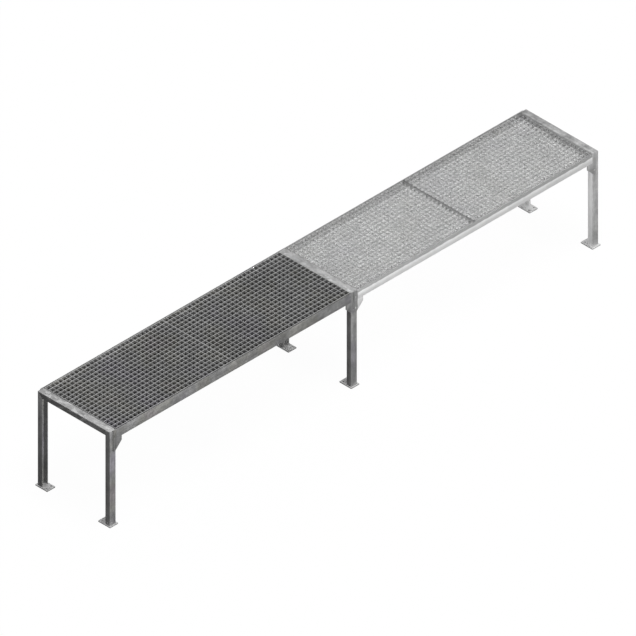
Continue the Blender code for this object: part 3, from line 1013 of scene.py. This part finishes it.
def grating(name, node, mat, body, bars_x=31, bars_y=19, t_cross=0.0030, t_bear=0.0030, ease=0.0004):
    """Square-mesh panel as one closed body: bearing bars along X, transverse bars along Y, eased top edges.
    The pitch runs evenly from the panel's outer end, and its last transverse bar is flush with the joint."""
    lo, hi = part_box(node)
    pitch = (hi.y - lo.y - t_bear) / (bars_y - 1)
    from_left = "_left_" in node

    def spans(a, b, count, t):
        step = (b - a - t) / (count - 1)
        return [(a + i * step, a + i * step + t) for i in range(count)]

    xs = [(lo.x + i * pitch, lo.x + i * pitch + t_cross) for i in range(bars_x - 1)]
    xs.append((hi.x - t_cross, hi.x))
    if not from_left:
        xs = [(lo.x + hi.x - b, lo.x + hi.x - a) for a, b in reversed(xs)]
    ys = spans(lo.y, hi.y, bars_y, t_bear)
    bm = bmesh.new()

    def lattice(z, inset):
        rows = []
        for x0, x1 in xs:
            for x in (x0 + inset, x1 - inset):
                rows.append(
                    [
                        bm.verts.new((x, y, z))
                        for y0, y1 in ys
                        for y in (y0 + inset, y1 - inset)
                    ]
                )
        return rows

    top = lattice(hi.z, ease)
    shoulder = lattice(hi.z - ease, 0.0)
    foot = lattice(lo.z + ease, 0.0)
    bottom = lattice(lo.z, ease)
    nx, ny = len(top), len(top[0])
    for i in range(nx - 1):
        for j in range(ny - 1):
            if i % 2 == 0 or j % 2 == 0:
                bm.faces.new((top[i][j], top[i + 1][j], top[i + 1][j + 1], top[i][j + 1]))
                bm.faces.new(
                    (bottom[i][j + 1], bottom[i + 1][j + 1], bottom[i + 1][j], bottom[i][j])
                )

    def wall(a, b, flip):
        for upper, lower in ((top, shoulder), (shoulder, foot), (foot, bottom)):
            q = (
                upper[a[0]][a[1]],
                upper[b[0]][b[1]],
                lower[b[0]][b[1]],
                lower[a[0]][a[1]],
            )
            bm.faces.new(q if not flip else tuple(reversed(q)))

    for i in range(1, nx - 1, 2):
        for j in range(1, ny - 1, 2):
            wall((i, j), (i + 1, j), False)
            wall((i + 1, j), (i + 1, j + 1), False)
            wall((i + 1, j + 1), (i, j + 1), False)
            wall((i, j + 1), (i, j), False)
    for i in range(nx - 1):
        wall((i, 0), (i + 1, 0), True)
        wall((i, ny - 1), (i + 1, ny - 1), False)
    for j in range(ny - 1):
        wall((0, j), (0, j + 1), False)
        wall((nx - 1, j), (nx - 1, j + 1), True)
    mesh = mesh_from(bm, name)
    o = new_object(name, mesh)
    mesh.shade_smooth()
    mesh.set_sharp_from_angle(angle=math.radians(50))
    stand_for(o, node, mat, body)
    return o


for bay in ("first", "second"):
    for place in ("left", "right"):
        grating(
            f"grating_{bay}_{place}",
            f"{bay}_bay_{place}_grating",
            grating_pale if bay == "second" else grating_dark,
            f"{bay}_bay_{place}_panel",
        )

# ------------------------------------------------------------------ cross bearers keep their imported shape
for bay in ("first", "second"):
    for place in ("left", "centre", "right"):
        o = NODES[f"{bay}_bay_{place}_bearer"]
        w = o.modifiers.new("weld", "WELD")
        w.merge_threshold = 0.00001
        b = o.modifiers.new("edges", "BEVEL")
        b.width = 0.0004
        b.segments = 2
        b.limit_method = "ANGLE"
        b.angle_limit = math.radians(50)
        for slot in o.material_slots:
            slot.material = bearer_pale if bay == "second" else bearer_mat
        made.append(o)

# ------------------------------------------------------------------ welds
for fr in ("left", "middle", "right"):
    wmat = weld_pale if fr == "right" else weld_dark
    for row in ("near", "far"):
        lo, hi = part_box(f"{fr}_{row}_leg")
        s = 1.0 if row == "near" else -1.0
        y_out = lo.y if row == "near" else hi.y
        y_tip = hi.y if row == "near" else lo.y
        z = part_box(f"{fr}_{row}_base_plate")[1].z + 0.0006
        e = 0.0004
        weld(
            f"weld_foot_{fr}_{row}",
            [
                ((lo.x + 0.003, y_out - s * e, z), (hi.x - 0.003, y_out - s * e, z), 0.0024),
                ((lo.x - e, y_out + s * 0.003, z), (lo.x - e, y_tip - s * 0.001, z), 0.0022),
                ((hi.x + e, y_out + s * 0.003, z), (hi.x + e, y_tip - s * 0.001, z), 0.0022),
            ],
            wmat,
        )
        # Mitre seams on both flanges, dressed nearly flush.
        runs = []
        for x, nx in ((lo.x, -1.0), (hi.x, 1.0)):
            runs.append(
                (
                    (x + 0.0010 * -nx, y_out + s * 0.0015, portal_z - 0.0015),
                    (x + 0.0010 * -nx, y_tip - s * 0.0012, portal_z - FLANGE + 0.0012),
                    0.0016,
                )
            )
        weld(f"weld_mitre_{fr}_{row}", runs, wmat)

for bay in ("first", "second"):
    wmat = weld_pale if bay == "second" else weld_dark
    for row in ("near", "far"):
        lo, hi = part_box(f"{bay}_bay_{row}_side_beam")
        y_face = lo.y if row == "near" else hi.y
        s = 1.0 if row == "near" else -1.0
        for end in ("left", "right"):
            glo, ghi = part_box(f"{bay}_bay_{row}_{end}_gusset")
            side = 1.0 if end == "left" else -1.0
            x = lo.x - 0.00015 if end == "left" else hi.x + 0.00015
            x_tip = ghi.x if end == "left" else glo.x
            y = y_face + s * 0.0012
            z = lo.z - 0.00015
            weld(
                f"weld_gusset_{bay}_{row}_{end}",
                [
                    ((x, y, hi.z - 0.001), (x, y, lo.z + 0.0005), 0.0019),
                    ((x + side * 0.001, y, z), (x_tip - side * 0.002, y, z), 0.0017),
                ],
                wmat,
            )

# ------------------------------------------------------------------ stage
bpy.ops.mesh.primitive_plane_add(size=80.0, location=(0.0, 0.0, -0.0004))
floor = bpy.context.active_object
floor.name = "floor"
fm = bpy.data.materials.new("floor_white")
fm.use_nodes = True
nt = fm.node_tree
nt.nodes.clear()
out = nt.nodes.new("ShaderNodeOutputMaterial")
path = nt.nodes.new("ShaderNodeLightPath")
seen = nt.nodes.new("ShaderNodeMixShader")
look = nt.nodes.new("ShaderNodeMixShader")
glow = nt.nodes.new("ShaderNodeEmission")
pale = nt.nodes.new("ShaderNodeBsdfDiffuse")
bounce = nt.nodes.new("ShaderNodeBsdfDiffuse")
glow.inputs["Color"].default_value = (1.0, 1.0, 1.0, 1.0)
glow.inputs["Strength"].default_value = 1.0
pale.inputs["Color"].default_value = (0.96, 0.96, 0.96, 1.0)
bounce.inputs["Color"].default_value = (0.16, 0.16, 0.16, 1.0)
look.inputs[0].default_value = 0.96
nt.links.new(pale.outputs[0], look.inputs[1])
nt.links.new(glow.outputs[0], look.inputs[2])
nt.links.new(path.outputs["Is Camera Ray"], seen.inputs[0])
nt.links.new(bounce.outputs[0], seen.inputs[1])
nt.links.new(look.outputs[0], seen.inputs[2])
nt.links.new(seen.outputs[0], out.inputs[0])
floor.data.materials.append(fm)

world = bpy.data.worlds.new("studio")
bpy.context.scene.world = world
world.use_nodes = True
wt = world.node_tree
wt.nodes.clear()
wout = wt.nodes.new("ShaderNodeOutputWorld")
wpath = wt.nodes.new("ShaderNodeLightPath")
wmix = wt.nodes.new("ShaderNodeMixShader")
soft = wt.nodes.new("ShaderNodeBackground")
white = wt.nodes.new("ShaderNodeBackground")
soft.inputs["Color"].default_value = (1.0, 1.0, 1.0, 1.0)
soft.inputs["Strength"].default_value = 0.19
white.inputs["Color"].default_value = (1.0, 1.0, 1.0, 1.0)
white.inputs["Strength"].default_value = 1.0
wt.links.new(wpath.outputs["Is Camera Ray"], wmix.inputs[0])
wt.links.new(soft.outputs[0], wmix.inputs[1])
wt.links.new(white.outputs[0], wmix.inputs[2])
wt.links.new(wmix.outputs[0], wout.inputs[0])


def sun(name, towards, strength, angle):
    """A broad studio lamp, shining along -towards."""
    data = bpy.data.lights.new(name, "SUN")
    data.energy = strength
    data.angle = math.radians(angle)
    o = bpy.data.objects.new(name, data)
    o.rotation_mode = "QUATERNION"
    o.rotation_quaternion = Vector(towards).normalized().to_track_quat("Z", "Y")
    bpy.context.scene.collection.objects.link(o)
    return o


sun("key", (-0.03, -0.22, 0.97), 2.55, 34.0)
front = sun("front", (-0.13, -0.985, 0.07), 1.84, 4.0)
sun("fill", (0.55, 0.60, 0.45), 0.45, 60.0)


def only_on(lamp, objects):
    """A fill lamp that is flagged off from everything but the given pieces."""
    group = bpy.data.collections.new(lamp.name + "_pieces")
    for piece in objects:
        group.objects.link(piece)
    lamp.light_linking.receiver_collection = group


# The far bay is paler: its mesh is lit from below and raked from the left too, and a lamp stands low between its legs.
mesh_pieces = [o for o in made if o.name.startswith("grating_second")]
only_on(front, [o for o in made if o not in mesh_pieces])
rake = sun("across_far_bay", (-0.86, -0.30, 0.40), 0.35, 30.0)
only_on(rake, mesh_pieces)
below = sun("under_far_bay", (0.0, 0.0, -1.0), 4.0, 90.0)
only_on(below, mesh_pieces)
shades = bpy.data.collections.new("under_far_bay_shades")
for piece in mesh_pieces + [NODES["second_bay_left_bearer"], NODES["second_bay_right_bearer"]]:
    shades.objects.link(piece)
for piece in made:
    if piece.name.startswith("side_beam_second"):
        shades.objects.link(piece)
below.light_linking.blocker_collection = shades
data = bpy.data.lights.new("far_end", "AREA")
data.shape = "RECTANGLE"
data.size = 0.50
data.size_y = 0.60
data.energy = 5.6
low = bpy.data.objects.new("far_end", data)
low.location = (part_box("second_bay_near_side_beam")[1].x - 1.1, 0.0, 0.34)
low.rotation_mode = "QUATERNION"
low.rotation_quaternion = Vector((-1.0, 0.0, 0.0)).to_track_quat("Z", "Y")
low.visible_camera = False
bpy.context.scene.collection.objects.link(low)
only_on(low, [o for o in made if o.name.startswith("leg_right")])

# ------------------------------------------------------------------ camera: exact isometric, parallel projection
FRAME_WIDTH = 3.8361
ROUND_WIDTH = 4.5
AIM_RIGHT, AIM_UP = 0.0, 0.0
camera_data = bpy.data.cameras.new("camera")
camera = bpy.data.objects.new("camera", camera_data)
bpy.context.scene.collection.objects.link(camera)
bpy.context.scene.camera = camera
back = Vector((-1.0, -1.0, 1.0)).normalized()
right = Vector((1.0, -1.0, 0.0)).normalized()
up = back.cross(right)
camera.rotation_mode = "QUATERNION"
camera.rotation_quaternion = Matrix((right, up, back)).transposed().to_quaternion()
camera.location = Vector((-0.3491, -0.3496, portal_z + 0.0012)) + back * 40.0 + right * AIM_RIGHT + up * AIM_UP
camera_data.type = "ORTHO"
camera_data.ortho_scale = FRAME_WIDTH
camera_data.clip_start = 1.0
camera_data.clip_end = 200.0
# Seen from elsewhere the camera comes close (about 6 m), and then takes in the bench's whole length.
curve = camera_data.driver_add("ortho_scale")
curve.driver.type = "MAX"
height = curve.driver.variables.new()
height.name = "height"
height.type = "TRANSFORMS"
height.targets[0].id = camera
height.targets[0].transform_type = "LOC_Z"
height.targets[0].transform_space = "WORLD_SPACE"
while curve.modifiers:
    curve.modifiers.remove(curve.modifiers[0])
while curve.keyframe_points:
    curve.keyframe_points.remove(curve.keyframe_points[0])
for at, value in ((14.0, ROUND_WIDTH), (15.0, FRAME_WIDTH)):
    key = curve.keyframe_points.insert(at, value)
    key.interpolation = "LINEAR"
curve.extrapolation = "CONSTANT"

view = bpy.context.scene.view_settings
view.view_transform = "Standard"
view.look = "None"
view.exposure = 0.0
view.gamma = 1.0
